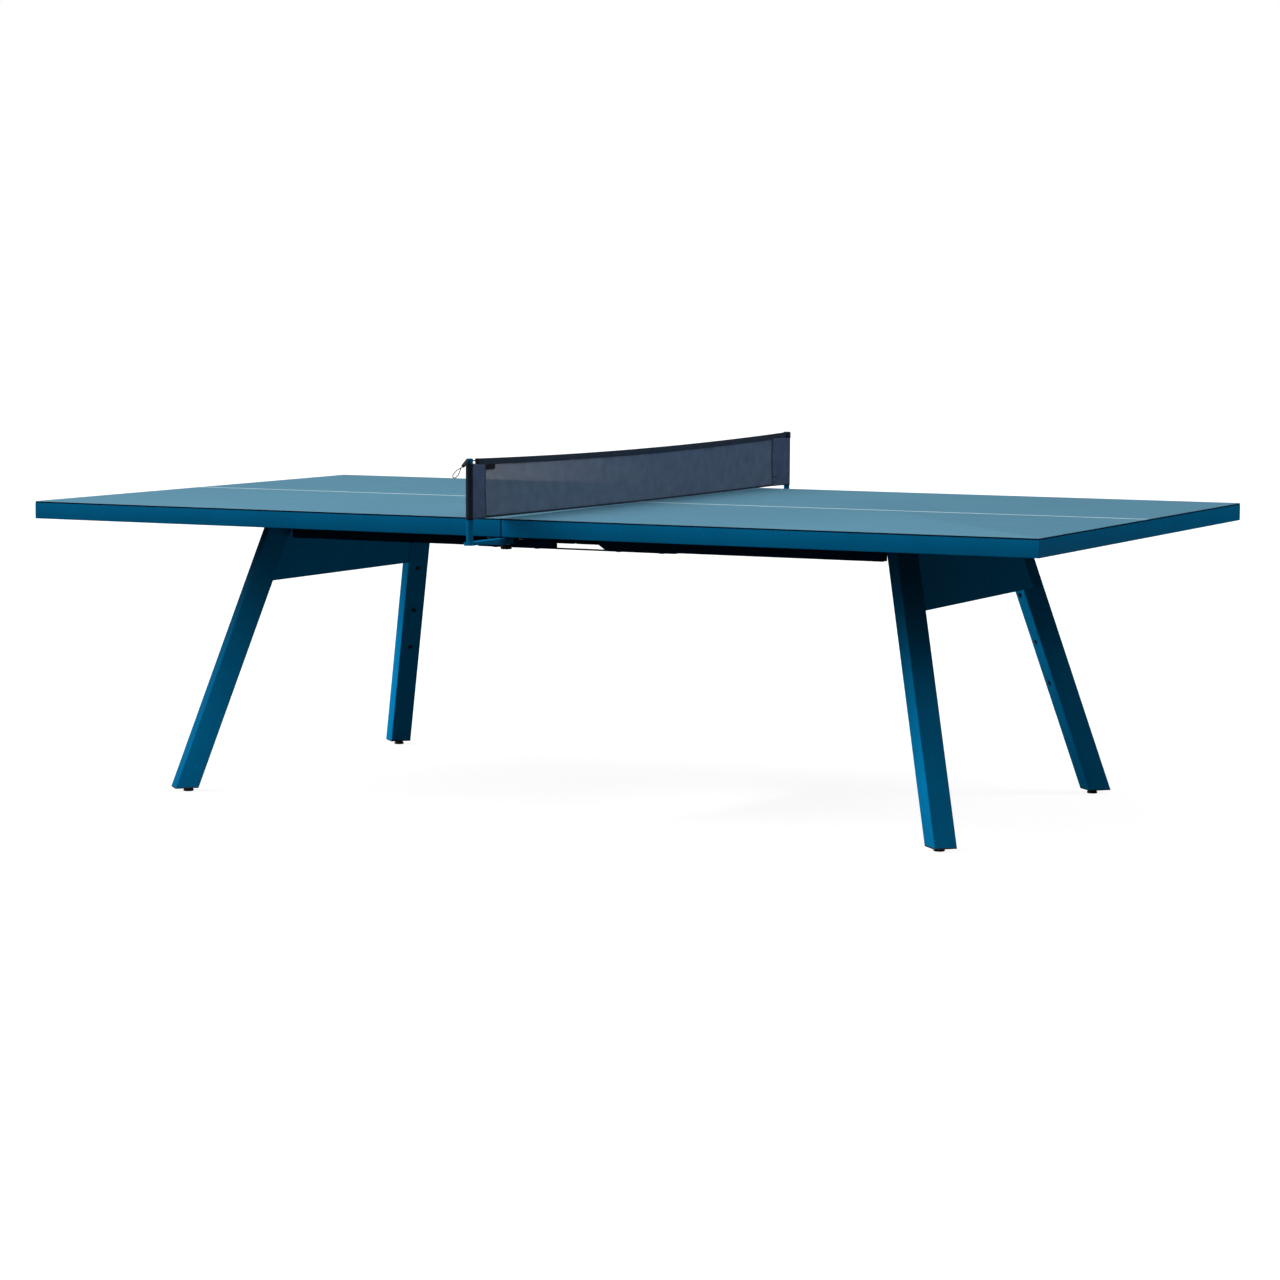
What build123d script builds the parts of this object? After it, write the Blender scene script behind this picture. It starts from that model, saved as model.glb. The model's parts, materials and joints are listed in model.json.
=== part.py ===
from build123d import *
import os
from math import cos, radians, sin, tan

# Ping pong table.  Millimetres.  X runs along the table, Y across it, Z up.
# The origin is on the floor, under the centre of the playing surface.

# ---- playing top ----
TABLE_LENGTH = 2740
TABLE_WIDTH = 1525
TABLE_HEIGHT = 760
JOINT_GAP = 3
BOARD_THICKNESS = 4
BOARD_INSET = 0.6
BOARD_CORNER = 3

# ---- edge frame under the boards ----
EDGE_DEPTH = 41
EDGE_WALL = 3
EDGE_FLANGE = 30
EDGE_CORNER = 2
BOARD_BOTTOM = TABLE_HEIGHT - BOARD_THICKNESS
UNDERSIDE = BOARD_BOTTOM - EDGE_DEPTH
HALF_LENGTH = TABLE_LENGTH / 2
HALF_WIDTH = TABLE_WIDTH / 2
FLANGE_TIP = HALF_WIDTH - EDGE_FLANGE

# ---- legs ----
LEG_SECTION = 58
LEG_WALL = 2.5
LEG_CORNER = 3
LEG_TOP_X = 873
LEG_TOP_Y = 362
LEG_SPREAD = 189
LEG_BOTTOM = 13
HEAD_PLATE_SIZE = 130
HEAD_PLATE_THICKNESS = 6
HEAD_BOLT_OFFSET = 50
PLUG_DISTANCES = (191, 322, 438)
PLUG_RADIUS = 6
PLUG_THICKNESS = 4
PLUG_PROUD = 2.5

# ---- levelling feet ----
CAP_FLANGE = 3
CAP_INSERT = 26
CAP_CLEARANCE = 0.2
FOOT_INSET = 6
PAD_RADIUS = 13.5
PAD_HEIGHT = 8
PAD_SOCKET_BOTTOM = 3
STUD_RADIUS = 4
STUD_TOP = 35
STUD_CLEARANCE = 0.08

# ---- end panels ----
PANEL_THICKNESS = 20
PANEL_WALL = 2
PANEL_TOP_Z = 703
PANEL_BOTTOM_Z = 542
PANEL_POCKET_MARGIN = 48

# ---- bars, rails and straps under the top ----
BAR_WIDTH = 40
BAR_WALL = 2
BAR_CENTRES = (260, 560, 1190)
BEAM_WIDTH = 140
RAIL_WIDTH = 30
RAIL_WALL = 2
RAIL_BOTTOM = 661
RAIL_START = 66
RAIL_END = 832
RAIL_END_CUT = (20, 13)
CROSS_RAIL_BOTTOM = 674
STRAP_HALF_LENGTH = 278
STRAP_THICKNESS = 2
STRAP_SCREWS_X = (115, 235)
JOINT_BOLTS_Y = (-560, -170, 170, 560)
JOINT_BOLT_Z = 735
BOLT_RADIUS = 4
BOLT_HOLE_RADIUS = 4.2
BOLT_HEAD_RADIUS = 6.5

# ---- net posts, arms and thumb screws ----
POST_Y = HALF_WIDTH + 152.5
POST_RADIUS = 8
POST_BORE = 6.5
POST_TOP = 896
POST_CAP_TOP = 910
SPIGOT_RADIUS = 6.45
SPIGOT_HEIGHT = 45
ARM_WIDTH = 22
ARM_TOP = 712
ARM_THICKNESS = 8
ARM_BLOCK_BOTTOM = 696
ARM_OUTER_Y = 926
ARM_INNER_Y = 715
ARM_TAPER_Y = (868, 768)
KNOB_Y = 735
KNOB_RADIUS = 14
KNOB_BOTTOM = 684
KNOB_TOP = 694
KNOB_LOBES = 6
KNOB_GROOVE = 3
WASHER_RADIUS = 8
SCREW_TOP = 714.6
RECEIVER_HALF_LENGTH = 62
RECEIVER_Y = (700, 748)
RECEIVER_SCREW = (44, 740)

# ---- net ----
NET_NEAR_SEAM = -840
NET_FAR_SEAM = 812
TAPE_DEPTH = 15
TAPE_THICKNESS = 4
TAPE_NEAR_END = (-884, 909)
TAPE_MIDDLE_Z = 899.5
TAPE_FAR_END = (906.4, 911)
TAPE_LOOP_RADIUS = 10.8
TAPE_LOOP_BOTTOM = 893
NET_TOP = 912
HEM_DEPTH = 5
HEM_THICKNESS = 3
HEM_NEAR_Z = 765.5
HEM_MIDDLE_Z = 761.2
HEM_FAR_Z = 762.5
MESH_THICKNESS = 2
BAND_THICKNESS = 3
SLEEVE_RADIUS = 9.6
SLEEVE_BORE = 8.3
NEAR_BAND_TOP = 889
FAR_BAND_TOP = 892.5

# ---- tension cord ----
TOP_CORD_RADIUS = 1.5
TOP_CORD_Z = 904
LOCK_RADIUS = 4.5
LOCK_START = (0, -925, 906)
LOCK_END = (0, -947, 893)
CORD_DIAMETER = 2
CORD_ROUTE = [
    (-1.6, -947.6, 892.7),
    (-2.6, -951.6, 889),
    (-4.6, -954, 882.5),
    (-7.4, -957.5, 875.5),
    (-10.4, -963, 869.5),
    (-13.4, -969.5, 866),
    (-15.6, -975, 867.5),
    (-14.8, -975.6, 873),
    (-11.4, -971, 879.5),
    (-7.4, -964.5, 885),
    (-2.6, -956.5, 888.6),
    (1.4, -947.6, 892.7),
]


def block(x0, x1, y0, y1, z0, z1):
    """A box between two corners."""
    size = (abs(x1 - x0), abs(y1 - y0), abs(z1 - z0))
    return Pos((x0 + x1) / 2, (y0 + y1) / 2, (z0 + z1) / 2) * Box(*size)


def post(x, y, z0, z1, radius):
    """An upright cylinder."""
    return Pos(x, y, (z0 + z1) / 2) * Cylinder(radius, z1 - z0)


def rod(start, end, radius):
    """A round bar between two points."""
    start, end = Vector(*start), Vector(*end)
    plane = Plane(origin=start, z_dir=end - start)
    return extrude(plane * Circle(radius), (end - start).length)


def to_quadrant(shape, sx, sy):
    """The +X +Y shape, mirrored to the quadrant with these signs."""
    if sx < 0:
        shape = mirror(shape, about=Plane.YZ)
    if sy < 0:
        shape = mirror(shape, about=Plane.XZ)
    return shape


def prism(points, z0, z1):
    """An upright prism over a plan outline."""
    outline = make_face(Polyline(*points, close=True))
    return Pos(0, 0, z0) * extrude(outline, z1 - z0)


def save(name, shape):
    """Write one node."""
    export_step(shape, f"parts/{name}.step")


HALVES = {"left": -1, "right": 1}
ENDS = {"front": -1, "rear": 1}
CORNERS = {f"{end}_{half}": (sx, sy) for half, sx in HALVES.items() for end, sy in ENDS.items()}


# ---- playing boards ----
def board():
    """One compact laminate half, with slightly rounded outer corners."""
    y = HALF_WIDTH - BOARD_INSET
    slab = block(JOINT_GAP / 2, HALF_LENGTH - BOARD_INSET, -y, y, BOARD_BOTTOM, TABLE_HEIGHT)
    outer = slab.edges().filter_by(Axis.Z).group_by(Axis.X)[-1]
    return fillet(outer, BOARD_CORNER)


# ---- edge frame: a C section round each half, mitred at the corners ----
def edge_ring():
    """The whole frame of the right half before it is cut at the mitres."""
    ring = block(JOINT_GAP / 2, HALF_LENGTH, -HALF_WIDTH, HALF_WIDTH, UNDERSIDE, BOARD_BOTTOM)
    ring = fillet(ring.edges().filter_by(Axis.Z).group_by(Axis.X)[-1], EDGE_CORNER)
    ring -= block(
        JOINT_GAP / 2 + EDGE_WALL, HALF_LENGTH - EDGE_WALL,
        -HALF_WIDTH + EDGE_WALL, HALF_WIDTH - EDGE_WALL,
        UNDERSIDE + EDGE_WALL, BOARD_BOTTOM - EDGE_WALL,
    )
    ring -= block(
        JOINT_GAP / 2 + EDGE_FLANGE, HALF_LENGTH - EDGE_FLANGE,
        -FLANGE_TIP, FLANGE_TIP, UNDERSIDE - 1, BOARD_BOTTOM + 1,
    )
    for y in JOINT_BOLTS_Y:
        ring -= rod((0, y, JOINT_BOLT_Z), (JOINT_GAP / 2 + EDGE_WALL + 1, y, JOINT_BOLT_Z), BOLT_HOLE_RADIUS)
    for sy in ENDS.values():
        x, y = RECEIVER_SCREW
        ring -= post(x, sy * y, UNDERSIDE - 1, UNDERSIDE + EDGE_WALL + 1, BOLT_HOLE_RADIUS)
    return ring


def edge_sides():
    """The four mitred sides of the right half's frame, by name."""
    ring = edge_ring()
    x0, x1, y, mitre = JOINT_GAP / 2, HALF_LENGTH, HALF_WIDTH, EDGE_FLANGE + 1
    outlines = {
        "front": [(x0, -y), (x1, -y), (x1 - mitre, -y + mitre), (x0 + mitre, -y + mitre)],
        "rear": [(x0, y), (x1, y), (x1 - mitre, y - mitre), (x0 + mitre, y - mitre)],
        "end": [(x1, -y), (x1, y), (x1 - mitre, y - mitre), (x1 - mitre, -y + mitre)],
        "joint": [(x0, -y), (x0, y), (x0 + mitre, y - mitre), (x0 + mitre, -y + mitre)],
    }
    return {side: ring & prism(points, UNDERSIDE, BOARD_BOTTOM) for side, points in outlines.items()}


# ---- legs ----
def leg_plane():
    """The plane across the top of the rear right leg, with Z down the leg."""
    down = Vector(LEG_SPREAD, LEG_SPREAD, -UNDERSIDE)
    return Plane(origin=(LEG_TOP_X, LEG_TOP_Y, UNDERSIDE), x_dir=(1, -1, 0), z_dir=down)


def leg_bar(side, corner=0):
    """A square bar along the leg's axis, longer than the leg at both ends."""
    section = RectangleRounded(side, side, corner) if corner else Rectangle(side, side)
    spare = 100
    bar = extrude(leg_plane() * section, UNDERSIDE + 2 * spare)
    return Pos(leg_plane().z_dir * -spare) * bar


def between(z0, z1):
    """A slab wide enough to cut any leg piece to its height."""
    return Pos(LEG_TOP_X, LEG_TOP_Y, 0) * block(-400, 400, -400, 400, z0, z1)


def plug_hole(distance, radius, depth0, depth1):
    """A short rod through the leg's inner face, this far down the leg."""
    plane = leg_plane()
    inward = plane.y_dir
    start = plane.origin + plane.z_dir * distance + inward * (LEG_SECTION / 2 - depth1)
    end = plane.origin + plane.z_dir * distance + inward * (LEG_SECTION / 2 - depth0)
    return rod(tuple(start), tuple(end), radius)


def leg():
    """One square tube leg, cut level at the head plate and at the foot."""
    tube = leg_bar(LEG_SECTION, LEG_CORNER) - leg_bar(LEG_SECTION - 2 * LEG_WALL)
    tube &= between(LEG_BOTTOM, UNDERSIDE - HEAD_PLATE_THICKNESS)
    for distance in PLUG_DISTANCES:
        tube -= plug_hole(distance, PLUG_RADIUS + 0.1, -1, LEG_WALL + 1)
    return tube


def leg_plugs():
    """The three plugs in one leg's inner face."""
    return [plug_hole(d, PLUG_RADIUS, -PLUG_PROUD, PLUG_THICKNESS - PLUG_PROUD) for d in PLUG_DISTANCES]


def head_bolt_points():
    """Plan positions of the bolts in one head plate."""
    offsets = (-HEAD_BOLT_OFFSET, HEAD_BOLT_OFFSET)
    return [(LEG_TOP_X + dx, LEG_TOP_Y + dy) for dx in offsets for dy in offsets]


def head_plate():
    """The plate on one leg's top."""
    half = HEAD_PLATE_SIZE / 2
    plate = block(
        LEG_TOP_X - half, LEG_TOP_X + half, LEG_TOP_Y - half, LEG_TOP_Y + half,
        UNDERSIDE - HEAD_PLATE_THICKNESS, UNDERSIDE,
    )
    for x, y in head_bolt_points():
        plate -= post(x, y, UNDERSIDE - 20, UNDERSIDE + 1, BOLT_HOLE_RADIUS)
    return plate


def hex_bolt(x, y, head_z, top_z):
    """A bolt that points up, with its hexagon head below head_z."""
    head = Pos(x, y, head_z - 5) * extrude(RegularPolygon(BOLT_HEAD_RADIUS, 6), 5)
    return head + post(x, y, head_z, top_z, BOLT_RADIUS)


# ---- levelling feet ----
def foot_centre():
    """Plan position of the rear right foot."""
    drop = LEG_SPREAD * (UNDERSIDE - LEG_BOTTOM) / UNDERSIDE
    return LEG_TOP_X + drop - FOOT_INSET, LEG_TOP_Y + drop - FOOT_INSET


def end_cap():
    """The plastic insert that closes one leg and holds the stud."""
    x, y = foot_centre()
    flange = leg_bar(LEG_SECTION, LEG_CORNER) & between(LEG_BOTTOM - CAP_FLANGE, LEG_BOTTOM)
    insert = leg_bar(LEG_SECTION - 2 * LEG_WALL - 2 * CAP_CLEARANCE)
    insert &= between(LEG_BOTTOM, LEG_BOTTOM + CAP_INSERT)
    return flange + insert - post(x, y, 0, 60, STUD_RADIUS + STUD_CLEARANCE)


def foot_pad():
    """One round pad with a socket for its stud."""
    x, y = foot_centre()
    profile = Polyline((0, 0), (PAD_RADIUS - 1, 0), (PAD_RADIUS, 1), (PAD_RADIUS, 4),
                       (PAD_RADIUS - 4, PAD_HEIGHT), (0, PAD_HEIGHT), close=True)
    pad = revolve(make_face(Plane.XZ * profile), Axis.Z)
    pad -= post(0, 0, PAD_SOCKET_BOTTOM, PAD_HEIGHT + 1, STUD_RADIUS + STUD_CLEARANCE)
    return Pos(x, y, 0) * pad


def foot_stud():
    """One threaded stud, modelled at its thread's outer diameter."""
    x, y = foot_centre()
    return post(x, y, PAD_SOCKET_BOTTOM, STUD_TOP, STUD_RADIUS)


# ---- end panel: a pressed pan between the two legs of one end ----
def end_panel():
    """The right end's panel, in the plane of its two legs."""
    slope = Vector(LEG_SPREAD, 0, -UNDERSIDE).normalized()
    outward = Vector(-slope.Z, 0, slope.X)
    plane = Plane(origin=(LEG_TOP_X, 0, UNDERSIDE), x_dir=(0, 1, 0), z_dir=outward)
    top = (UNDERSIDE - PANEL_TOP_Z) / -slope.Z
    bottom = (UNDERSIDE - PANEL_BOTTOM_Z) / -slope.Z

    def half_width(z):
        return LEG_TOP_Y + LEG_SPREAD * (UNDERSIDE - z) / UNDERSIDE

    def slab(margin, lower, depth0, depth1, upper):
        wide_top, wide_bottom = half_width(PANEL_TOP_Z) - margin, half_width(PANEL_BOTTOM_Z) - margin
        outline = Polyline((-wide_top, -upper), (wide_top, -upper), (wide_bottom, -lower),
                           (-wide_bottom, -lower), close=True)
        return Pos(outward * depth0) * extrude(plane * make_face(outline), depth1 - depth0)

    panel = slab(0, bottom, 0, PANEL_THICKNESS, top)
    panel -= slab(PANEL_POCKET_MARGIN, bottom - PANEL_WALL, PANEL_WALL,
                  PANEL_THICKNESS - PANEL_WALL, top - 5)
    rear = leg_bar(LEG_SECTION)
    return panel - rear - to_quadrant(rear, 1, -1)


# ---- bars, rails and straps ----
def box_tube(x0, x1, y0, y1, z0, z1, wall, along):
    """A rectangular tube, open at its two ends along X or Y."""
    outer = block(x0, x1, y0, y1, z0, z1)
    if along == "X":
        return outer - block(x0 - 1, x1 + 1, y0 + wall, y1 - wall, z0 + wall, z1 - wall)
    return outer - block(x0 + wall, x1 - wall, y0 - 1, y1 + 1, z0 + wall, z1 - wall)


def cross_bars():
    """The right half's plain cross bars."""
    half = BAR_WIDTH / 2
    return [
        box_tube(x - half, x + half, -FLANGE_TIP, FLANGE_TIP, UNDERSIDE, BOARD_BOTTOM, BAR_WALL, "Y")
        for x in BAR_CENTRES
    ]


def leg_beam():
    """The wide cross beam that the right end's legs bolt to."""
    half = BEAM_WIDTH / 2
    beam = box_tube(LEG_TOP_X - half, LEG_TOP_X + half, -FLANGE_TIP, FLANGE_TIP,
                    UNDERSIDE, BOARD_BOTTOM, BAR_WALL, "Y")
    for x, y in head_bolt_points():
        for sy in ENDS.values():
            beam -= post(x, sy * y, UNDERSIDE - 1, UNDERSIDE + BAR_WALL + 1, BOLT_HOLE_RADIUS)
    return beam


def under_rail(cut_end):
    """The rear right rail; cut_end slopes the lower corner of its inner end."""
    y0, y1 = LEG_TOP_Y - RAIL_WIDTH / 2, LEG_TOP_Y + RAIL_WIDTH / 2
    rail = box_tube(RAIL_START, RAIL_END, y0, y1, RAIL_BOTTOM, UNDERSIDE, RAIL_WALL, "X")
    half = HEAD_PLATE_SIZE / 2
    rail -= block(LEG_TOP_X - half, RAIL_END + 1, y0 - 1, y1 + 1, UNDERSIDE - HEAD_PLATE_THICKNESS, UNDERSIDE + 1)
    rail -= leg_bar(LEG_SECTION)
    for x in STRAP_SCREWS_X:
        rail -= post(x, LEG_TOP_Y, RAIL_BOTTOM - 1, RAIL_BOTTOM + RAIL_WALL + 1, BOLT_HOLE_RADIUS)
    if cut_end:
        dx, dz = RAIL_END_CUT
        corner = [(RAIL_START, RAIL_BOTTOM), (RAIL_START + dx, RAIL_BOTTOM), (RAIL_START, RAIL_BOTTOM + dz)]
        wedge = extrude(Plane.XZ * make_face(Polyline(*corner, close=True)), 500, both=True)
        rail -= wedge
    return rail


def cross_rail():
    """The right half's low rail beside the joint."""
    y = LEG_TOP_Y + RAIL_WIDTH / 2
    return box_tube(JOINT_GAP / 2 + 3, RAIL_START, -y, y, CROSS_RAIL_BOTTOM, UNDERSIDE, BAR_WALL, "Y")


def strap():
    """The rear joining strap under the two rear rails."""
    y0, y1 = LEG_TOP_Y - RAIL_WIDTH / 2, LEG_TOP_Y + RAIL_WIDTH / 2
    bar = block(-STRAP_HALF_LENGTH, STRAP_HALF_LENGTH, y0, y1, RAIL_BOTTOM - STRAP_THICKNESS, RAIL_BOTTOM)
    for x in STRAP_SCREWS_X:
        for sx in HALVES.values():
            bar -= post(sx * x, LEG_TOP_Y, RAIL_BOTTOM - 10, RAIL_BOTTOM + 1, BOLT_HOLE_RADIUS)
    return bar


def strap_screws():
    """Button head screws through one strap, in the +Y row."""
    bottom = RAIL_BOTTOM - STRAP_THICKNESS
    screws = []
    for x in STRAP_SCREWS_X:
        for sx in HALVES.values():
            head = post(sx * x, LEG_TOP_Y, bottom - 2, bottom, BOLT_HEAD_RADIUS)
            head = fillet(head.edges().group_by(Axis.Z)[0], 1)
            screws.append(head + post(sx * x, LEG_TOP_Y, bottom, RAIL_BOTTOM + 12, BOLT_RADIUS))
    return screws


def joint_bolts():
    """Bolts along X that clamp the two halves' joint sides together."""
    reach = JOINT_GAP / 2 + EDGE_WALL
    bolts = []
    for y in JOINT_BOLTS_Y:
        shank = rod((-reach - 5, y, JOINT_BOLT_Z), (reach + 6, y, JOINT_BOLT_Z), BOLT_RADIUS)
        head = Plane(origin=(-reach - 5, y, JOINT_BOLT_Z), z_dir=(1, 0, 0)) * RegularPolygon(BOLT_HEAD_RADIUS, 6)
        nut = Plane(origin=(reach, y, JOINT_BOLT_Z), z_dir=(1, 0, 0)) * RegularPolygon(BOLT_HEAD_RADIUS, 6)
        bolts.append(shank + extrude(head, 5) + extrude(nut, 5))
    return bolts


# ---- net posts and arms, built at the rear and mirrored to the front ----
def net_post():
    """A round post, open below to slide over its arm's spigot."""
    return post(0, POST_Y, ARM_TOP, POST_TOP, POST_RADIUS) - post(
        0, POST_Y, ARM_TOP - 1, POST_TOP + 1, POST_BORE)


def post_cap():
    """The solid top of one post, with a cross hole for the tension cord."""
    cap = post(0, POST_Y, POST_TOP, POST_CAP_TOP, POST_RADIUS)
    cap = fillet(cap.edges().group_by(Axis.Z)[-1], 1.5)
    cap += post(0, POST_Y, POST_TOP - 12, POST_TOP, POST_BORE - 0.05)
    y0, y1 = POST_Y - 20, POST_Y + 20
    return cap - rod((0, y0, TOP_CORD_Z), (0, y1, TOP_CORD_Z), TOP_CORD_RADIUS + 0.2)


def net_arm():
    """The arm that holds one post out beside the table, with its spigot."""
    bottom = ARM_TOP - ARM_THICKNESS
    outline = Polyline(
        (ARM_OUTER_Y, ARM_TOP), (ARM_OUTER_Y, bottom), (ARM_TAPER_Y[0], bottom),
        (ARM_TAPER_Y[1], ARM_BLOCK_BOTTOM), (ARM_INNER_Y, ARM_BLOCK_BOTTOM), (ARM_INNER_Y, ARM_TOP),
        close=True,
    )
    arm = extrude(Plane.YZ * make_face(outline), ARM_WIDTH / 2, both=True)
    arm = fillet(arm.edges().filter_by(Axis.Z), 4)
    arm += post(0, POST_Y, ARM_TOP, ARM_TOP + SPIGOT_HEIGHT, SPIGOT_RADIUS)
    return arm - post(0, KNOB_Y, ARM_BLOCK_BOTTOM - 1, ARM_TOP + 1, BOLT_HOLE_RADIUS)


def receiver():
    """The plate under the edge frame that one arm is screwed to."""
    y0, y1 = RECEIVER_Y
    plate = block(-RECEIVER_HALF_LENGTH, RECEIVER_HALF_LENGTH, y0, y1, ARM_TOP, UNDERSIDE)
    plate -= post(0, KNOB_Y, ARM_TOP - 1, UNDERSIDE + 1, BOLT_HOLE_RADIUS)
    x, y = RECEIVER_SCREW
    for sx in HALVES.values():
        plate -= post(sx * x, y, ARM_TOP - 1, UNDERSIDE + 1, BOLT_HOLE_RADIUS)
    return plate


def receiver_screws():
    """The screws that hold one receiver plate."""
    x, y = RECEIVER_SCREW
    screws = []
    for sx in HALVES.values():
        head = post(sx * x, y, ARM_TOP - 2.5, ARM_TOP, BOLT_HEAD_RADIUS)
        head = fillet(head.edges().group_by(Axis.Z)[0], 1.2)
        screws.append(head + post(sx * x, y, ARM_TOP, UNDERSIDE + 8, BOLT_RADIUS))
    return screws


def thumb_washer():
    """The washer that stays on one thumb screw."""
    ring = post(0, KNOB_Y, KNOB_TOP, ARM_BLOCK_BOTTOM, WASHER_RADIUS)
    return ring - post(0, KNOB_Y, KNOB_TOP - 1, ARM_BLOCK_BOTTOM + 1, BOLT_HOLE_RADIUS)


def thumb_screw():
    """A grooved knob with its screw."""
    knob = post(0, KNOB_Y, KNOB_BOTTOM, KNOB_TOP, KNOB_RADIUS)
    knob = fillet(knob.edges().group_by(Axis.Z)[0], 2)
    for i in range(KNOB_LOBES):
        angle = radians(360 * (i + 0.5) / KNOB_LOBES)
        x, y = (KNOB_RADIUS + 1) * cos(angle), (KNOB_RADIUS + 1) * sin(angle)
        knob -= post(x, KNOB_Y + y, KNOB_BOTTOM - 1, KNOB_TOP + 1, KNOB_GROOVE)
    return knob + post(0, KNOB_Y, KNOB_TOP, SCREW_TOP, BOLT_RADIUS)


# ---- net ----
def strip(lower, upper, thickness):
    """A sheet in the net's plane between two sagging lines of three points each."""
    (l0, l1, l2), (u0, u1, u2) = lower, upper
    outline = Curve() + [ThreePointArc(l0, l1, l2), Line(l2, u2), ThreePointArc(u2, u1, u0), Line(u0, l0)]
    return extrude(Plane.YZ * make_face(outline), thickness / 2, both=True)


def sag_z(y, near, middle, far):
    """Height of a line that sags between its two ends as a parabola."""
    (y0, z0), (y1, z1) = near, far
    t = (y - y0) / (y1 - y0)
    dip = (z0 + z1) / 2 - middle
    return z0 + (z1 - z0) * t - 4 * dip * t * (1 - t)


def tape_line(y, below=0):
    """A point on the tape's top line, or this far below it."""
    return y, sag_z(y, TAPE_NEAR_END, TAPE_MIDDLE_Z, TAPE_FAR_END) - below


def hem_line(y, above=0):
    """A point on the net's bottom line, or this far above it."""
    ends = (NET_NEAR_SEAM, HEM_NEAR_Z), HEM_MIDDLE_Z, (NET_FAR_SEAM, HEM_FAR_Z)
    return y, sag_z(y, ends[0], ends[1], ends[2]) + above


def three(line, y0, y1, offset=0):
    """Three points of a line: both ends and the middle."""
    return [line(y, offset) for y in (y0, (y0 + y1) / 2, y1)]


def top_tape():
    """The tape along the net's top; its far end is a pocket over the far post."""
    near, far = TAPE_NEAR_END[0], TAPE_FAR_END[0]
    tape = strip(three(tape_line, near, far, TAPE_DEPTH), three(tape_line, near, far), TAPE_THICKNESS)
    pocket = post(0, POST_Y, TAPE_LOOP_BOTTOM, NET_TOP, TAPE_LOOP_RADIUS)
    pocket = fillet(pocket.edges().group_by(Axis.Z)[-1], 1)
    pocket -= post(0, POST_Y, TAPE_LOOP_BOTTOM - 1, POST_CAP_TOP + 0.4, SLEEVE_BORE)
    hollow = post(0, POST_Y, TAPE_LOOP_BOTTOM - 9, POST_CAP_TOP + 0.4, SLEEVE_BORE)
    cord_way = rod((0, near - 1, TOP_CORD_Z), (0, near + 15, TOP_CORD_Z), TOP_CORD_RADIUS + 0.05)
    return tape + pocket - hollow - cord_way


def net_mesh():
    """The mesh between the tape, the hem and the two side bands."""
    y0, y1 = NET_NEAR_SEAM, NET_FAR_SEAM
    return strip(three(hem_line, y0, y1, HEM_DEPTH), three(tape_line, y0, y1, TAPE_DEPTH + 0.4), MESH_THICKNESS)


def bottom_hem():
    """The hem along the net's lower edge."""
    y0, y1 = NET_NEAR_SEAM, NET_FAR_SEAM
    return strip(three(hem_line, y0, y1), three(hem_line, y0, y1, HEM_DEPTH), HEM_THICKNESS)


def side_band(side, seam, bottom, top):
    """The band at one end of the net and its sleeve over the post."""
    y = side * POST_Y
    edge = y - side * (SLEEVE_BORE + 0.2)
    low, high = sorted((seam, edge))
    flat = block(-BAND_THICKNESS / 2, BAND_THICKNESS / 2, low, high, bottom, top)
    sleeve = post(0, y, bottom, top, SLEEVE_RADIUS) - post(0, y, bottom - 1, top + 1, SLEEVE_BORE)
    return flat + sleeve


# ---- tension cord ----
def top_cord():
    """The straight run from the tape, through the near post's cap, to the lock."""
    near = TAPE_NEAR_END[0] + 14
    return rod((0, near, TOP_CORD_Z), (0, LOCK_START[1] - 1, TOP_CORD_Z), TOP_CORD_RADIUS)


def cord_lock():
    """The barrel that grips the cord outside the near post."""
    barrel = rod(LOCK_START, LOCK_END, LOCK_RADIUS)
    barrel = fillet(barrel.edges().filter_by(GeomType.CIRCLE), 1.2)
    return barrel - top_cord()


def hanging_cord():
    """The loop that hangs from the lock, as straight runs joined by arcs."""
    points = [Vector(*p) for p in CORD_ROUTE]
    radii = []
    for before, here, after in zip(points, points[1:], points[2:]):
        turn = (here - before).get_angle(after - here)
        shorter = min((here - before).length, (after - here).length)
        radii.append(0.45 * shorter / tan(radians(turn / 2)))
    print("cord radii", [round(r, 1) for r in radii])
    path = FilletPolyline(*points, radius=radii)
    start = Plane(origin=path @ 0, z_dir=path % 0)
    tube = sweep(start * Circle(CORD_DIAMETER / 2), path=path)
    expected = 3.14159 * (CORD_DIAMETER / 2) ** 2 * path.length
    print("cord length", round(path.length, 1), "volume", round(tube.volume / expected, 3))
    return tube


def write_top():
    """Boards, edge frames, bars and rails."""
    sides = edge_sides()
    for half, sx in HALVES.items():
        save(f"top_board_{half}", to_quadrant(board(), sx, 1))
        for side, shape in sides.items():
            save(f"edge_{side}_{half}", to_quadrant(shape, sx, 1))
        save(f"cross_bars_{half}", Compound(children=[to_quadrant(bar, sx, 1) for bar in cross_bars()]))
        save(f"leg_beam_{half}", to_quadrant(leg_beam(), sx, 1))
        save(f"cross_rail_{half}", to_quadrant(cross_rail(), sx, 1))
        for end, sy in ENDS.items():
            save(f"under_rail_{end}_{half}", to_quadrant(under_rail(half == "right"), sx, sy))
    save("joining_straps", Compound(children=[to_quadrant(strap(), 1, sy) for sy in ENDS.values()]))
    save("strap_screws", Compound(children=[
        to_quadrant(screw, 1, sy) for screw in strap_screws() for sy in ENDS.values()]))
    save("joint_bolts", Compound(children=joint_bolts()))


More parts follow.
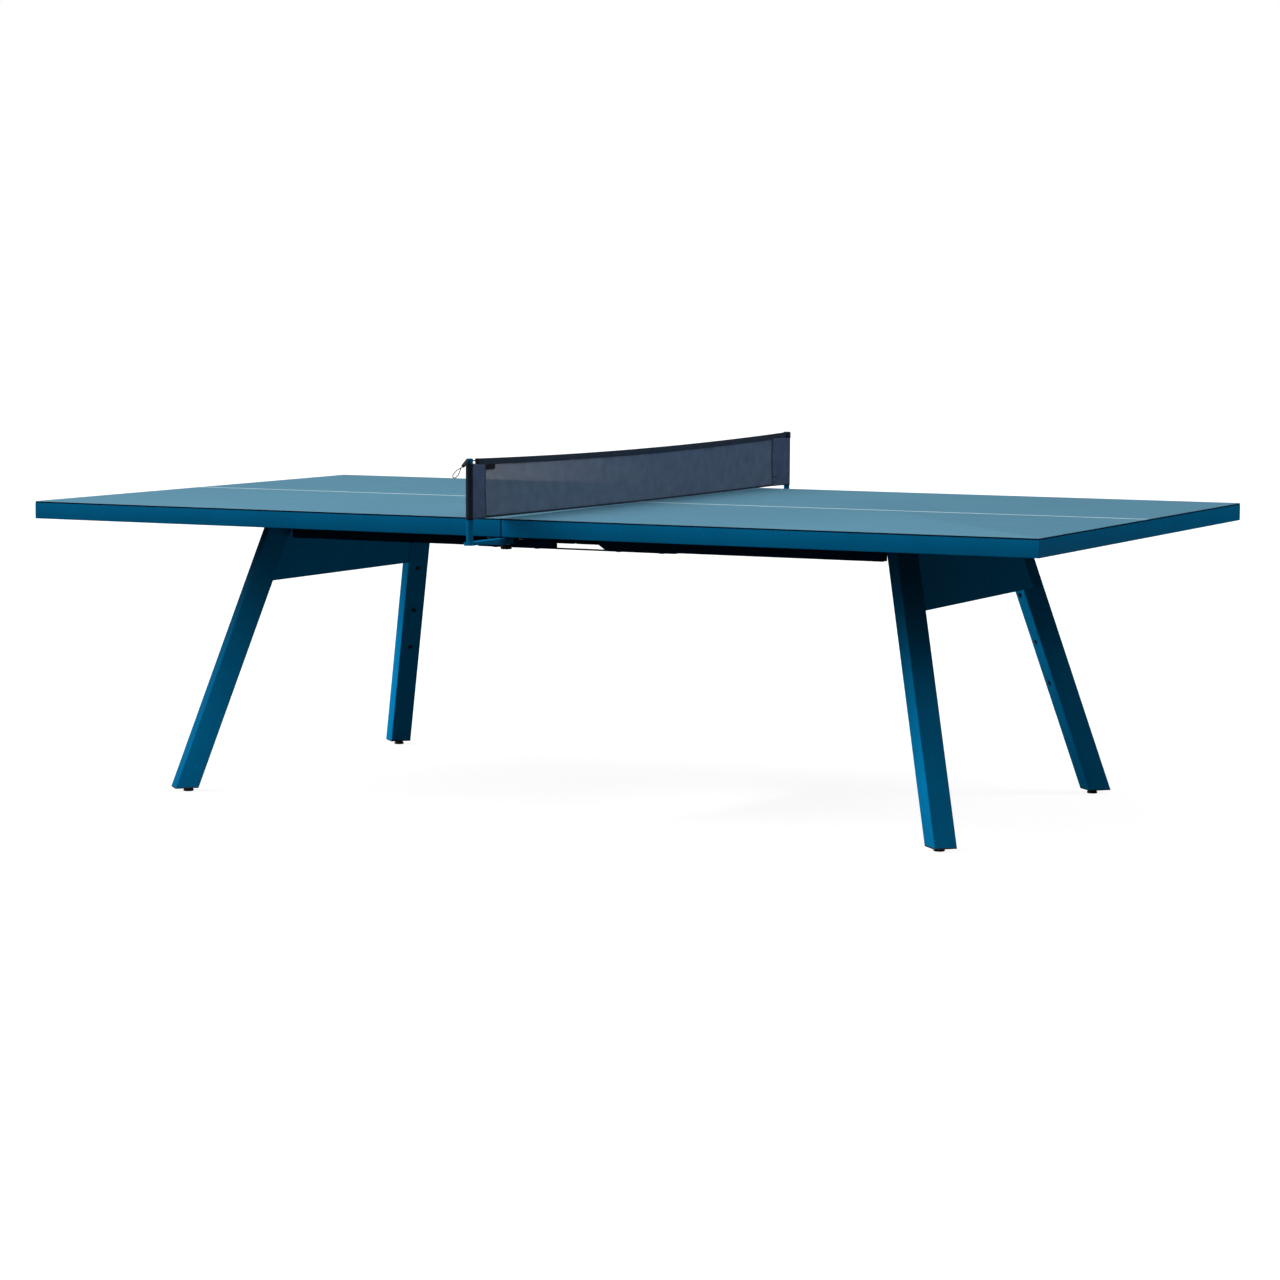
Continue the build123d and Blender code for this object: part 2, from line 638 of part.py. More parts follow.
def write_legs():
    """Legs, their fittings, feet and end panels."""
    for name, (sx, sy) in CORNERS.items():
        save(f"leg_{name}", to_quadrant(leg(), sx, sy))
        save(f"foot_pad_{name}", to_quadrant(foot_pad(), sx, sy))
        save(f"foot_stud_{name}", to_quadrant(foot_stud(), sx, sy))
    bolts = [hex_bolt(x, y, UNDERSIDE - HEAD_PLATE_THICKNESS, UNDERSIDE + 14) for x, y in head_bolt_points()]
    groups = {
        "leg_end_caps": [end_cap()],
        "leg_head_plates": [head_plate()],
        "leg_bolts": bolts,
        "leg_plugs": leg_plugs(),
    }
    for name, pieces in groups.items():
        save(name, Compound(children=[
            to_quadrant(piece, sx, sy) for piece in pieces for sx, sy in CORNERS.values()]))
    for half, sx in HALVES.items():
        save(f"end_panel_{half}", to_quadrant(end_panel(), sx, 1))


def write_net():
    """Arms, posts, thumb screws, net and cord."""
    for end, sy in ENDS.items():
        save(f"net_post_{end}", to_quadrant(net_post(), 1, sy))
        save(f"net_arm_{end}", to_quadrant(net_arm(), 1, sy))
        save(f"thumb_washer_{end}", to_quadrant(thumb_washer(), 1, sy))
        save(f"thumb_screw_{end}", to_quadrant(thumb_screw(), 1, sy))
    save("net_receivers", Compound(children=[to_quadrant(receiver(), 1, sy) for sy in ENDS.values()]))
    save("receiver_screws", Compound(children=[
        to_quadrant(screw, 1, sy) for screw in receiver_screws() for sy in ENDS.values()]))
    save("post_caps", Compound(children=[to_quadrant(post_cap(), 1, sy) for sy in ENDS.values()]))
    save("net_top_tape", top_tape())
    save("net_mesh", net_mesh())
    save("net_bottom_hem", bottom_hem())
    save("net_band_front", side_band(-1, NET_NEAR_SEAM, HEM_NEAR_Z, NEAR_BAND_TOP))
    save("net_band_rear", side_band(1, NET_FAR_SEAM, HEM_FAR_Z, FAR_BAND_TOP))
    save("net_top_cord", top_cord())
    save("cord_lock", cord_lock())
    save("tension_cord", hanging_cord())


os.makedirs("parts", exist_ok=True)
write_top()
write_legs()
write_net()
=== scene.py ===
"""Looks of the ping pong table, built round its CAD frame, with its camera and its light."""

import json
import math

import bmesh
import bpy
from mathutils import Matrix, Vector


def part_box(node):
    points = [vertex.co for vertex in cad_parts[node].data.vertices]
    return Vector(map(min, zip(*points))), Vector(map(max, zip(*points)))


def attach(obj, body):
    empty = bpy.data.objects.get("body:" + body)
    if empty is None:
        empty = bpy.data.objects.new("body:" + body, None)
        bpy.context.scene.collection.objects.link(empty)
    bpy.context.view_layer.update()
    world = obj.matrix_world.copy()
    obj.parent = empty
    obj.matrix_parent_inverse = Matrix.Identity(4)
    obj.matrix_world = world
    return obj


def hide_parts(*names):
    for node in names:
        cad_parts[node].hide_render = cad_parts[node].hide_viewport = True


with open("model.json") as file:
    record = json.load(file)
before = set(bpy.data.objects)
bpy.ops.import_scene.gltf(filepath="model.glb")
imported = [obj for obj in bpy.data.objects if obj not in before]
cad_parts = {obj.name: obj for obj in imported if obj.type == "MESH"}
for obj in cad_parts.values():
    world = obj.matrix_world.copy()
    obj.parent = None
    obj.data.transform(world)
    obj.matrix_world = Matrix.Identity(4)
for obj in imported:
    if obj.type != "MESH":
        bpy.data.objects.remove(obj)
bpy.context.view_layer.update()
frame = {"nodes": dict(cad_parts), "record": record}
NODES = frame["nodes"]
MM = 0.001

# ---- sizes that the frame gives ----
BOARD_LOW, BOARD_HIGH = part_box("top_board_right")
EDGE_LOW, EDGE_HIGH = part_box("edge_front_right")
END_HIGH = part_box("edge_end_right")[1]
JOINT_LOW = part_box("edge_joint_right")[0]
MESH_LOW, MESH_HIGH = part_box("net_mesh")
TAPE_LOW, TAPE_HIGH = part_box("net_top_tape")
BAND_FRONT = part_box("net_band_front")
BAND_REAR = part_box("net_band_rear")
POST_LOW, POST_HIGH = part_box("net_post_rear")

TOP_Z = BOARD_HIGH[2]
JOINT_X = JOINT_LOW[0]
END_X = END_HIGH[0]
HALF_WIDTH = END_HIGH[1]
FRAME_BOTTOM = EDGE_LOW[2]
FRAME_TOP = EDGE_HIGH[2]
POST_RADIUS = (POST_HIGH[0] - POST_LOW[0]) / 2
POST_Y = (POST_LOW[1] + POST_HIGH[1]) / 2
NEAR_SEAM = MESH_LOW[1]
FAR_SEAM = MESH_HIGH[1]


# ---- mesh helpers ----
SHARP_ANGLE = 35
SMALLEST_RADIUS = 0.0002


def add_object(name, bm, materials, body="table", smooth=True):
    """Turns a bmesh into an object that rides on a body."""
    bmesh.ops.recalc_face_normals(bm, faces=bm.faces)
    mesh = bpy.data.meshes.new(name)
    bm.to_mesh(mesh)
    bm.free()
    for material in materials:
        mesh.materials.append(material)
    if smooth:
        mesh.shade_smooth()
        mesh.set_sharp_from_angle(angle=math.radians(SHARP_ANGLE))
    obj = bpy.data.objects.new(name, mesh)
    bpy.context.scene.collection.objects.link(obj)
    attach(obj, body)
    return obj


def bridge(bm, loops, closed_path=False):
    """Joins a row of equal closed point loops with quads."""
    rings = [[bm.verts.new(p) for p in loop] for loop in loops]
    pairs = list(zip(rings, rings[1:]))
    if closed_path:
        pairs.append((rings[-1], rings[0]))
    count = len(rings[0])
    for a, b in pairs:
        for i in range(count):
            j = (i + 1) % count
            bm.faces.new((a[i], a[j], b[j], b[i]))
    return rings


def closed_solid(bm, loops):
    """Joins a row of equal point loops with quads and closes both ends."""
    rings = bridge(bm, loops)
    bm.faces.new(rings[0])
    bm.faces.new(rings[-1])


def rounded_outline(x0, x1, y0, y1, radii, steps=6):
    """Plan points of a rectangle; radii are for its corners from (x1, y1) anticlockwise."""
    centres = [(x1, y1, 0), (x0, y1, 90), (x0, y0, 180), (x1, y0, 270)]
    points = []
    for (cx, cy, start), r in zip(centres, radii):
        r = max(r, SMALLEST_RADIUS)
        sx = 1 if start in (0, 270) else -1
        sy = 1 if start in (0, 90) else -1
        for i in range(steps + 1):
            a = math.radians(start + 90 * i / steps)
            points.append((cx - sx * r + r * math.cos(a), cy - sy * r + r * math.sin(a)))
    return points


def inset_loop(box, radii, inset, z, sign):
    """The rounded outline, moved inwards, at height z; sign -1 mirrors it to the left half."""
    x0, x1, y0, y1 = box
    loop = rounded_outline(x0 + inset, x1 - inset, y0 + inset, y1 - inset, [r - inset for r in radii])
    return [(sign * x, y, z) for x, y in loop]


# ---- materials ----
def new_material(name):
    """A material with its tree, its Principled shader and a node maker."""
    material = bpy.data.materials.new(name)
    material.use_nodes = True
    tree = material.node_tree
    shader = tree.nodes["Principled BSDF"]
    return material, tree, shader


def node(tree, kind, **values):
    """A shader node with these properties and inputs set."""
    made = tree.nodes.new(kind)
    for key, value in values.items():
        if key in made.inputs:
            made.inputs[key].default_value = value
        else:
            setattr(made, key, value)
    return made


def object_noise(tree, scale, detail=3.0, stretch=None):
    """Noise in the row frame's metres."""
    place = node(tree, "ShaderNodeTexCoord")
    noise = node(tree, "ShaderNodeTexNoise", Scale=scale, Detail=detail)
    vector = place.outputs["Object"]
    if stretch:
        mapping = node(tree, "ShaderNodeMapping", Scale=stretch)
        tree.links.new(vector, mapping.inputs["Vector"])
        vector = mapping.outputs["Vector"]
    tree.links.new(vector, noise.inputs["Vector"])
    return noise


def ramp(tree, source, stops):
    """A colour ramp over a factor."""
    made = tree.nodes.new("ShaderNodeValToRGB")
    elements = made.color_ramp.elements
    while len(elements) < len(stops):
        elements.new(0.5)
    for element, (at, colour) in zip(elements, stops):
        element.position = at
        element.color = (*colour, 1)
    tree.links.new(source, made.inputs["Fac"])
    return made.outputs["Color"]


def bump(tree, shader, height, strength, distance):
    """Bump from a height."""
    made = node(tree, "ShaderNodeBump", Strength=strength, Distance=distance)
    tree.links.new(height, made.inputs["Height"])
    tree.links.new(made.outputs["Normal"], shader.inputs["Normal"])


def roughness_from(tree, shader, source, low, high):
    """Roughness between two values by a factor."""
    mapped = node(tree, "ShaderNodeMapRange")
    mapped.inputs["To Min"].default_value = low
    mapped.inputs["To Max"].default_value = high
    tree.links.new(source, mapped.inputs["Value"])
    tree.links.new(mapped.outputs["Result"], shader.inputs["Roughness"])


def shade(colour, factor):
    """A colour scaled."""
    return tuple(c * factor for c in colour)


def speckle(tree, scale, low, high):
    """A mask of small scattered spots."""
    noise = object_noise(tree, scale, 2.0)
    mask = node(tree, "ShaderNodeMapRange")
    mask.inputs["From Min"].default_value = low
    mask.inputs["From Max"].default_value = high
    tree.links.new(noise.outputs["Fac"], mask.inputs["Value"])
    return mask.outputs["Result"]


def mix_colour(tree, factor, first, second):
    """Two colours or sockets mixed by a factor socket."""
    mix = node(tree, "ShaderNodeMix", data_type="RGBA")
    tree.links.new(factor, mix.inputs["Factor"])
    for socket, value in zip((mix.inputs[6], mix.inputs[7]), (first, second)):
        if hasattr(value, "links"):
            tree.links.new(value, socket)
        else:
            socket.default_value = (*value, 1)
    return mix.outputs[2]


def powder_coat(name, colour, rough=(0.46, 0.6), specular=0.01):
    """Fine textured powder coat with faint clouding and a few dull scuffs."""
    material, tree, shader = new_material(name)
    cloudy = object_noise(tree, 9.0)
    tone = ramp(tree, cloudy.outputs["Fac"], [(0.3, shade(colour, 0.95)), (0.7, shade(colour, 1.05))])
    scuffs = speckle(tree, 55.0, 0.66, 0.74)
    worn = mix_colour(tree, scuffs, tone, shade(colour, 1.22))
    tree.links.new(worn, shader.inputs["Base Color"])
    grain = object_noise(tree, 1400.0, 2.0)
    roughness_from(tree, shader, grain.outputs["Fac"], *rough)
    bump(tree, shader, grain.outputs["Fac"], 0.12, 0.0004)
    shader.inputs["Specular IOR Level"].default_value = specular
    return material


def laminate(name, colour):
    """The playing surface: satin laminate with a very fine grain and faint rub marks."""
    material, tree, shader = new_material(name)
    cloudy = object_noise(tree, 2.2, 4.0)
    tone = ramp(tree, cloudy.outputs["Fac"], [(0.3, shade(colour, 0.965)), (0.7, shade(colour, 1.035))])
    tree.links.new(tone, shader.inputs["Base Color"])
    grain = object_noise(tree, 900.0, 3.0)
    rubbed = object_noise(tree, 14.0, 5.0, stretch=(0.35, 1.0, 1.0))
    add = node(tree, "ShaderNodeMath", operation="MULTIPLY_ADD")
    add.inputs[1].default_value = 0.5
    tree.links.new(grain.outputs["Fac"], add.inputs[0])
    tree.links.new(rubbed.outputs["Fac"], add.inputs[2])
    roughness_from(tree, shader, add.outputs[0], 0.36, 0.52)
    bump(tree, shader, grain.outputs["Fac"], 0.08, 0.0003)
    shader.inputs["Specular IOR Level"].default_value = 0.5
    return material


def plastic(name, colour, rough=(0.4, 0.55)):
    """Moulded plastic or rubber."""
    material, tree, shader = new_material(name)
    grain = object_noise(tree, 700.0, 2.0)
    tone = ramp(tree, grain.outputs["Fac"], [(0.3, shade(colour, 0.85)), (0.7, shade(colour, 1.15))])
    tree.links.new(tone, shader.inputs["Base Color"])
    roughness_from(tree, shader, grain.outputs["Fac"], *rough)
    bump(tree, shader, grain.outputs["Fac"], 0.15, 0.0004)
    shader.inputs["Specular IOR Level"].default_value = 0.3
    return material


def zinc(name):
    """Zinc plated steel."""
    material, tree, shader = new_material(name)
    cloudy = object_noise(tree, 160.0, 3.0)
    tone = ramp(tree, cloudy.outputs["Fac"], [(0.3, (0.42, 0.43, 0.44)), (0.7, (0.62, 0.62, 0.6))])
    tree.links.new(tone, shader.inputs["Base Color"])
    roughness_from(tree, shader, cloudy.outputs["Fac"], 0.28, 0.42)
    shader.inputs["Metallic"].default_value = 1.0
    return material


def woven(name, colour, pitch, axes=("Y", "Z"), rough=0.85):
    """Plain weave from two crossed waves along the cloth."""
    material, tree, shader = new_material(name)
    place = node(tree, "ShaderNodeTexCoord")
    waves = []
    for axis in axes:
        wave = node(tree, "ShaderNodeTexWave", Scale=0.5 / pitch)
        wave.bands_direction = axis
        tree.links.new(place.outputs["Object"], wave.inputs["Vector"])
        waves.append(wave)
    mix = node(tree, "ShaderNodeMath", operation="MULTIPLY")
    tree.links.new(waves[0].outputs["Fac"], mix.inputs[0])
    tree.links.new(waves[1].outputs["Fac"], mix.inputs[1])
    cloudy = object_noise(tree, 30.0, 4.0)
    add = node(tree, "ShaderNodeMath", operation="MULTIPLY_ADD")
    add.inputs[1].default_value = 0.5
    tree.links.new(mix.outputs[0], add.inputs[0])
    tree.links.new(cloudy.outputs["Fac"], add.inputs[2])
    tone = ramp(tree, add.outputs[0], [(0.3, shade(colour, 0.75)), (0.95, shade(colour, 1.25))])
    tree.links.new(tone, shader.inputs["Base Color"])
    bump(tree, shader, mix.outputs[0], 0.35, 0.0004)
    shader.inputs["Roughness"].default_value = rough
    shader.inputs["Specular IOR Level"].default_value = 0.15
    shader.inputs["Sheen Weight"].default_value = 0.08
    shader.inputs["Sheen Roughness"].default_value = 0.5
    return material


BLUE = (0.0005, 0.132, 0.295)
TOP_BLUE = (0.085, 0.245, 0.35)
M_BLUE = powder_coat("blue_powder_coat", BLUE)
# painted shade: the under frame gets the blue powder coat darkened to about a quarter, for the deep shade
# under the table
M_FRAME_SHADE = powder_coat("frame_painted_shade", (0.0005, 0.03, 0.07))
M_TOP = laminate("blue_laminate", TOP_BLUE)
# painted shade: dark navy for the board's sides, standing in for the shadowed seam between board and apron
M_SIDE_SHADE = powder_coat("board_side_painted_shade", (0.002, 0.012, 0.026), (0.6, 0.7))
M_LINE = laminate("line_paint", (0.6, 0.75, 0.8))
M_BLACK = plastic("black_plastic", (0.008, 0.009, 0.012))
M_RUBBER = plastic("black_rubber", (0.008, 0.008, 0.009), (0.65, 0.8))
M_ZINC = zinc("zinc_plate")
M_NET = woven("net_thread", (0.115, 0.165, 0.255), 0.0008)
M_TAPE = woven("tape_weave", (0.016, 0.03, 0.055), 0.0009)
M_BAND = woven("band_weave", (0.068, 0.115, 0.22), 0.0009)
# painted shade: a much darker copy of the band colour for the sleeve round the post, for the shade on its
# curve
M_SLEEVE_SHADE = woven("sleeve_painted_shade", (0.009, 0.017, 0.033), 0.0009)
M_STITCH = woven("stitch_thread", (0.028, 0.045, 0.085), 0.0005)
M_THREAD = woven("black_thread", (0.004, 0.005, 0.008), 0.0006)
M_CORD = woven("black_braid", (0.006, 0.006, 0.008), 0.0008)

SLOT_LOOKS = {
    "top_laminate": M_TOP,
    "blue_steel": M_BLUE,
    "frame_steel": M_FRAME_SHADE,
    "black_plastic": M_BLACK,
    "foot_rubber": M_RUBBER,
    "zinc_steel": M_ZINC,
    "net_mesh": M_NET,
    "net_tape": M_TAPE,
    "black_cord": M_CORD,
}


def dress_cad_nodes():
    """Gives each CAD node the finish of its record slot."""
    slots = {row["node"]: row["material_slot"] for row in frame["record"]["subparts"]}
    for name, obj in NODES.items():
        for place in obj.material_slots:
            place.material = SLOT_LOOKS[slots[name]]


# ---- boards and centre line ----
def make_board(half, sign):
    """One laminate board with an eased top edge and painted shade on its sides: dark navy for the shadowed
    seam above the apron.
    """
    box = (BOARD_LOW[0], BOARD_HIGH[0], BOARD_LOW[1], BOARD_HIGH[1])
    radii = [0.003, 0.0003, 0.0003, 0.003]
    ease = 0.0007
    profile = [(0.0, BOARD_LOW[2])]
    profile += [(ease * (1 - math.cos(a)), TOP_Z - ease + ease * math.sin(a))
                for a in (math.radians(30 * i) for i in range(4))]
    bm = bmesh.new()
    closed_solid(bm, [inset_loop(box, radii, inset, z, sign) for inset, z in profile])
    for face in bm.faces:
        side = all(v.co.z < TOP_Z - ease * 0.9 for v in face.verts)
        # the side faces take the painted shade of the seam
        face.material_index = 1 if side else 0
    board = add_object(f"board_{half}", bm, [M_TOP, M_SIDE_SHADE])
    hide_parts(f"top_board_{half}")


def make_centre_line(half, sign):
    """The painted line along one half, a thin film of paint."""
    width, film = 0.012, 0.00012
    x0, x1 = BOARD_LOW[0] + 0.0008, BOARD_HIGH[0] - 0.0012
    bm = bmesh.new()
    loops = []
    for inset, z in ((0.0, TOP_Z - film), (0.0, TOP_Z + film * 0.6), (0.0003, TOP_Z + film)):
        corners = [(x0 + inset, -width / 2 + inset), (x1 - inset, -width / 2 + inset),
                   (x1 - inset, width / 2 - inset), (x0 + inset, width / 2 - inset)]
        loops.append([(sign * x, y, z) for x, y in corners])
    closed_solid(bm, loops)
    line = add_object(f"centre_line_{half}", bm, [M_LINE])


# ---- edge frames ----
def edge_profile():
    """(inset, z) points round the frame's C section, from the outer bottom edge."""
    wall, flange, soft = 0.003, 0.030, 0.0012
    z0, z1 = FRAME_BOTTOM, FRAME_TOP
    points = [(soft * (1 - math.sin(a)), z0 + soft * (1 - math.cos(a)))
              for a in (math.radians(30 * i) for i in range(4))]
    points += [(soft * (1 - math.cos(a)), z1 - soft * (1 - math.sin(a)))
               for a in (math.radians(30 * i) for i in range(4))]
    points += [(flange, z1), (flange, z1 - wall), (wall, z1 - wall)]
    points += [(wall, z0 + wall), (flange, z0 + wall), (flange, z0)]
    return points


def make_edge_frame(half, sign):
    """One welded edge frame, seamless at its corners."""
    box = (JOINT_X, END_X, -HALF_WIDTH, HALF_WIDTH)
    radii = [0.002, 0.0008, 0.0008, 0.002]
    bm = bmesh.new()
    bridge(bm, [inset_loop(box, radii, inset, z, sign) for inset, z in edge_profile()], closed_path=True)
    ring = add_object(f"edge_frame_{half}", bm, [M_BLUE])
    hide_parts(*[f"edge_{side}_{half}" for side in ("front", "rear", "end", "joint")])


# ---- net ----
TAPE_DEPTH = 0.015
TAPE_THICK = 0.0036
HEM_DEPTH = 0.005
# (y, z) of the tape's top at its near and far ends, and its height where it sags most
TAPE_NEAR = (-0.884, 0.909)
TAPE_MIDDLE_Z = 0.8995
TAPE_FAR = (0.9064, 0.911)
HEM_NEAR_Z, HEM_MIDDLE_Z, HEM_FAR_Z = 0.7655, 0.7612, 0.7625
NET_PITCH = 0.0021
THREAD = 0.00105
RIPPLE = 0.0006
RIPPLE_DEPTH = 0.14


def sag_z(y, near, middle, far):
    """Height of a line that sags between its two ends as a parabola."""
    (y0, z0), (y1, z1) = near, far
    t = (y - y0) / (y1 - y0)
    dip = (z0 + z1) / 2 - middle
    return z0 + (z1 - z0) * t - 4 * dip * t * (1 - t)


def tape_z(y):
    """Top of the tape."""
    return sag_z(y, TAPE_NEAR, TAPE_MIDDLE_Z, TAPE_FAR)


def hem_z(y):
    """Bottom of the hem."""
    return sag_z(y, (NEAR_SEAM, HEM_NEAR_Z), HEM_MIDDLE_Z, (FAR_SEAM, HEM_FAR_Z))


def net_x(y, z):
    """A slight ripple out of the net's plane, none at the tape."""
    down = max(0.0, (tape_z(y) - z) / RIPPLE_DEPTH)
    return RIPPLE * down * (math.sin(9 * y + 2 * down) + 0.5 * math.sin(23 * y + 1.0))


def thread_tube(bm, points, radius, across):
    """A thread of square section along points, set on its corner; across is one diagonal's direction."""
    across = Vector(across) * radius
    out = Vector((1, 0, 0)) * radius
    closed_solid(bm, [[p + across, p + out, p - across, p - out] for p in map(Vector, points)])


def make_net_mesh():
    """The open mesh: crossed threads between tape, hem and bands."""
    bm = bmesh.new()
    y0, y1 = NEAR_SEAM + 0.0005, FAR_SEAM - 0.0005
    count = round((y1 - y0) / NET_PITCH)
    rows = round((MESH_HIGH[2] - MESH_LOW[2]) / NET_PITCH)
    for i in range(count + 1):
        y = y0 + (y1 - y0) * i / count
        low, high = hem_z(y) + HEM_DEPTH * 0.5, tape_z(y) - TAPE_DEPTH * 0.7
        steps = 5
        points = []
        for k in range(steps + 1):
            z = low + (high - low) * k / steps
            points.append((net_x(y, z), y, z))
        thread_tube(bm, points, THREAD / 2, (0, 1, 0))
    spans = 70
    for j in range(rows):
        points = []
        for k in range(spans + 1):
            y = y0 + (y1 - y0) * k / spans
            low, high = hem_z(y) + HEM_DEPTH, tape_z(y) - TAPE_DEPTH
            z = low + (high - low) * (j + 0.5) / rows
            points.append((net_x(y, z), y, z))
        thread_tube(bm, points, THREAD / 2, (0, 0, 1))
    net = add_object("net_mesh_threads", bm, [M_NET], "net_set", smooth=False)
    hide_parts("net_mesh")


def swept_strip(name, y0, y1, spans, section, material):
    """Sweeps a closed (x, z) section along the net; section(y) gives its points."""
    bm = bmesh.new()
    loops = []
    for k in range(spans + 1):
        y = y0 + (y1 - y0) * k / spans
        loops.append([(x, y, z) for x, z in section(y)])
    closed_solid(bm, loops)
    strip = add_object(name, bm, [material], "net_set")
    return strip


def rounded_section(x, top, bottom, half, round_top=True):
    """Closed (x, z) outline of a folded strip with a round fold."""
    points = []
    fold = top - half if round_top else bottom + half
    sign = 1 if round_top else -1
    for i in range(9):
        a = math.pi * i / 8
        points.append((x + half * math.cos(a), fold + sign * half * math.sin(a)))
    other = bottom if round_top else top
    points += [(x - half, other), (x + half, other)]
    return points


def make_tape():
    """The folded tape along the top, up to the far post."""
    def section(y):
        return rounded_section(0.0, tape_z(y), tape_z(y) - TAPE_DEPTH, TAPE_THICK / 2)
    tape = swept_strip("net_tape", TAPE_NEAR[0], POST_Y - POST_RADIUS, 120, section, M_TAPE)
    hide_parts("net_top_tape")


def make_tape_pocket():
    """The end of the tape, sewn as a pocket over the far post."""
    bm = bmesh.new()
    radius, soft = 0.0104, 0.003
    z0, z1 = TAPE_LOW[2] + 0.0093, TAPE_HIGH[2] - 0.0002
    profile = [(radius - 0.0010, z0 + 0.0006), (radius - 0.0003, z0)]
    profile += [(radius, z0 + 0.0008), (radius, z1 - soft)]
    profile += [(radius - soft + soft * math.cos(a), z1 - soft + soft * math.sin(a))
                for a in (math.radians(22.5 * i) for i in range(1, 5))]
    loops = []
    for r, z in profile:
        loops.append([(r * math.cos(a), POST_Y + r * math.sin(a), z)
                      for a in (2 * math.pi * i / 40 for i in range(40))])
    rings = bridge(bm, loops)
    bm.faces.new(rings[-1])
    pocket = add_object("net_tape_pocket", bm, [M_TAPE], "net_set")


def make_hem():
    """The rolled hem along the bottom."""
    def section(y):
        x = net_x(y, hem_z(y))
        return rounded_section(x, hem_z(y) + HEM_DEPTH, hem_z(y), 0.0012, round_top=False)
    hem = swept_strip("net_hem", NEAR_SEAM, FAR_SEAM, 110, section, M_TAPE)
    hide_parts("net_bottom_hem")


SLEEVE_OUT = 0.0093
BAND_LAYER = 0.0013
BAND_CLOTH = 0.0007
# how far each band's cloth stands above its solid, at the seam and at the post
BAND_RISE = {"front": (0.0042, 0.0098), "rear": (0.003, 0.0025)}


def band_half(y, side, seam):
    """Half the thickness of a side band at y, from the seam to the sleeve."""
    t = min(1.0, max(0.0, (y - seam) / (side * POST_Y - seam)))
    return BAND_LAYER + (SLEEVE_OUT - BAND_LAYER) * t


def pucker(y, z):
    """Small gathers in a side band where it is sewn."""
    return 0.00035 * math.sin(190 * z + 60 * y) * math.sin(95 * y)


def band_loop(z, side, seam):
    """One level of a band: out along one layer, round the post and back along the other."""
    flat_steps, turn_steps = 14, 22
    post_y = side * POST_Y
    tangent = math.acos((SLEEVE_OUT - BAND_LAYER) / abs(post_y - seam))
    start = math.pi - tangent
    arc = []
    for i in range(turn_steps + 1):
        a = -start + 2 * start * i / turn_steps
        arc.append((SLEEVE_OUT * math.sin(a), post_y + side * SLEEVE_OUT * math.cos(a)))
    loop = []
    for i in range(flat_steps):
        t = i / flat_steps
        y = seam + (arc[0][1] - seam) * t
        x = -BAND_LAYER + (arc[0][0] + BAND_LAYER) * t
        loop.append((x + (net_x(y, z) + pucker(y, z)) * (1 - t), y, z))
    loop += [(x, y, z) for x, y in arc]
    for i in range(flat_steps):
        t = 1 - (i + 1) / flat_steps
        y = seam + (arc[-1][1] - seam) * t
        x = BAND_LAYER + (arc[-1][0] - BAND_LAYER) * t
        loop.append((x + (net_x(y, z) + pucker(y, z)) * (1 - t), y, z))
    return loop


def raise_top(bm, end, side, seam, box):
    """Stretches a band or its stitches upwards, so that the cloth meets the tape."""
    bottom, top = box[0][2], box[1][2]
    at_seam, at_post = BAND_RISE[end]
    for vert in bm.verts:
        t = min(1.0, max(0.0, (vert.co.y - seam) / (side * POST_Y - seam)))
        share = (vert.co.z - bottom) / (top - bottom)
        vert.co.z += share * (at_seam + (at_post - at_seam) * t * t)


def make_band(end, side, seam, box):
    """One side band: two layers from the seam that part round the post as a sleeve."""
    rows = 30
    bottom, top = box[0][2], box[1][2]
    bm = bmesh.new()
    bridge(bm, [band_loop(bottom + (top - bottom) * k / rows, side, seam) for k in range(rows + 1)])
    for face in bm.faces:
        # the cloth round the post takes the sleeve's painted shade
        face.material_index = 1 if abs(face.calc_center_median().y) > POST_Y + 0.0006 else 0
    raise_top(bm, end, side, seam, box)
    band = add_object(f"net_side_band_{end}", bm, [M_BAND, M_SLEEVE_SHADE], "net_set")
    solid = band.modifiers.new("layer", "SOLIDIFY")
    solid.thickness = BAND_CLOTH
    solid.offset = -1
    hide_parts(f"net_band_{end}")


def add_stitch(bm, start, end, radius):
    """One stitch: a short thread with tapered ends."""
    start, end = Vector(start), Vector(end)
    turn = (end - start).to_track_quat("Z", "Y").to_matrix()
    loops = []
    for t, size in ((0.0, 0.35), (0.25, 1.0), (0.75, 1.0), (1.0, 0.35)):
        centre = start.lerp(end, t)
        loops.append([centre + turn @ Vector((radius * size * math.cos(a), radius * size * math.sin(a), 0))
                      for a in (2 * math.pi * k / 5 for k in range(5))])
    closed_solid(bm, loops)


def sew(bm, line, length, pitch=0.0042, stitch=0.0029, radius=0.00028):
    """A row of stitches along line(t), t from 0 to 1."""
    count = max(1, int(length / pitch))
    for i in range(count):
        t0 = (i + 0.15) / count
        add_stitch(bm, line(t0), line(t0 + stitch / length), radius)


def make_tape_stitches():
    """A row of stitches near the lower edge of the tape, on both faces."""
    bm = bmesh.new()
    y0, y1 = TAPE_NEAR[0] + 0.012, POST_Y - POST_RADIUS - 0.003
    for face in (-1, 1):
        def line(t, face=face):
            y = y0 + (y1 - y0) * t
            return face * (TAPE_THICK / 2 + 0.00008), y, tape_z(y) - TAPE_DEPTH + 0.0026
        sew(bm, line, y1 - y0)
    rows = add_object("net_tape_stitches", bm, [M_STITCH], "net_set")


